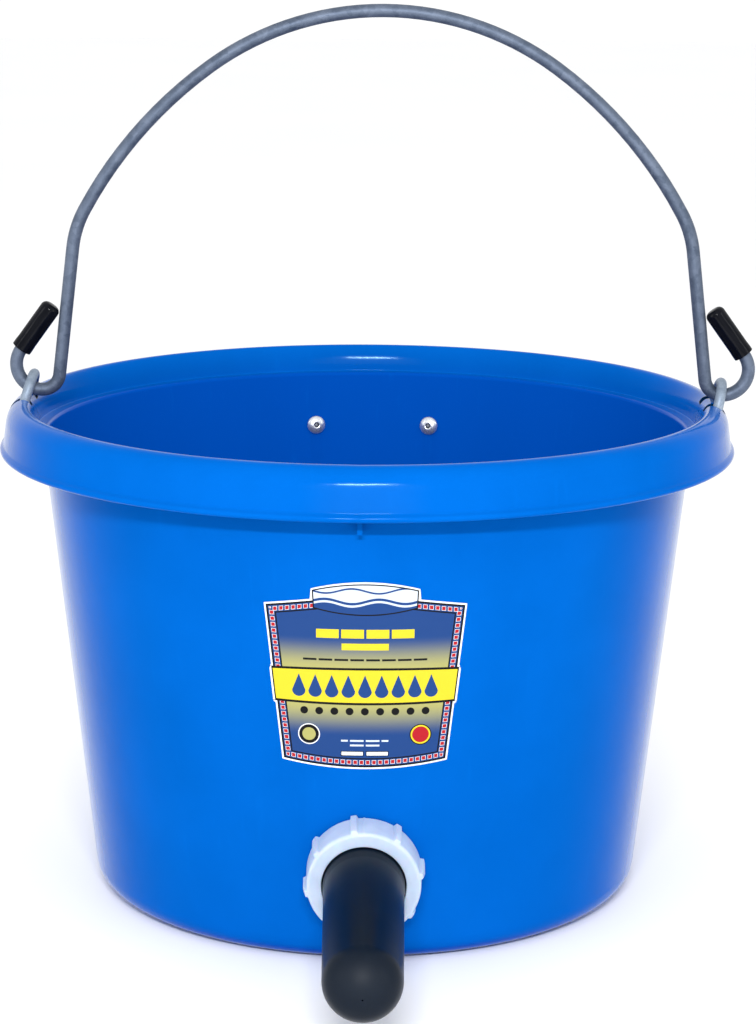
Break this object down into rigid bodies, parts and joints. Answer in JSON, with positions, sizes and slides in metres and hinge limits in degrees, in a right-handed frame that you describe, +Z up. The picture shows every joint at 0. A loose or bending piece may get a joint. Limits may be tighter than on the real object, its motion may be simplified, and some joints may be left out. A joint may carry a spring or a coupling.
{
  "type": "calf feeder pail",
  "caption": "Blue plastic milk pail with a rolled rim, a swinging wire bail in wire eyes, a rubber teat low on its front held by a ribbed nut, and a steel board hook behind.",
  "frame": {"origin": "centre of the pail's flat base, on the surface it stands on", "axes": "+Z up out of the pail's mouth, +X from eye to eye of the bail, the teat points along -Y, within a degree, and the hanger is at +Y"},
  "size_m": [0.2999, 0.3916, 0.3525],
  "materials": {
    "pail_plastic": "semi-gloss moulded polyethylene",
    "galvanised_rod": "dull hot-dip galvanised",
    "galvanised_wire": "dull galvanised wire",
    "bracket_steel": "zinc-plated sheet",
    "rivet_metal": "satin",
    "mandrel_steel": "plain steel",
    "cap_vinyl": "glossy dipped vinyl",
    "valve_plastic": "satin moulded",
    "nut_plastic": "milky translucent",
    "gasket_rubber": "matte",
    "ball_plastic": "polished",
    "teat_rubber": "matte moulded rubber",
    "label_film": "printed film"
  },
  "bodies": {
    "root": {"pail": "pail_plastic", "hanger_bracket": "bracket_steel", "rivet_left": "rivet_metal", "rivet_right": "rivet_metal", "rivet_mandrel_left": "mandrel_steel", "rivet_mandrel_right": "mandrel_steel", "valve_body": "valve_plastic", "valve_gasket": "gasket_rubber", "ball_cage": "valve_plastic", "nipple": "teat_rubber", "label": "label_film"},
    "bail": {"bail": "galvanised_rod", "bail_cap_left": "cap_vinyl", "bail_cap_right": "cap_vinyl"},
    "eye_left": {"bail_eye_left": "galvanised_wire"},
    "eye_right": {"bail_eye_right": "galvanised_wire"},
    "nut": {"nipple_nut": "nut_plastic"},
    "ball": {"valve_ball": "ball_plastic"}
  },
  "joints": [
    {"name": "bail_swing", "type": "hinge", "parent": "root", "child": "bail", "pos_m": [0.0056, 0, 0.2], "axis": [1, 0, 0], "range_deg": [-84, 84]},
    {"name": "eye_left_rock", "type": "hinge", "parent": "root", "child": "eye_left", "pos_m": [-0.1374, 0, 0.1913], "axis": [0, 1, 0], "range_deg": [-1.5, 2]},
    {"name": "eye_right_rock", "type": "hinge", "parent": "root", "child": "eye_right", "pos_m": [0.1374, 0, 0.1898], "axis": [0, 1, 0], "range_deg": [-2, 1.5]},
    {"name": "nut_turn", "type": "hinge", "parent": "root", "child": "nut", "pos_m": [0.00178, -0.11322, 0.0385], "axis": [0.0156, -0.9939, -0.1092], "continuous": true},
    {"name": "ball_lift", "type": "slide", "parent": "root", "child": "ball", "axis": [0.0156, -0.9939, -0.1092], "range_m": [0, 0.0032]}
  ]
}
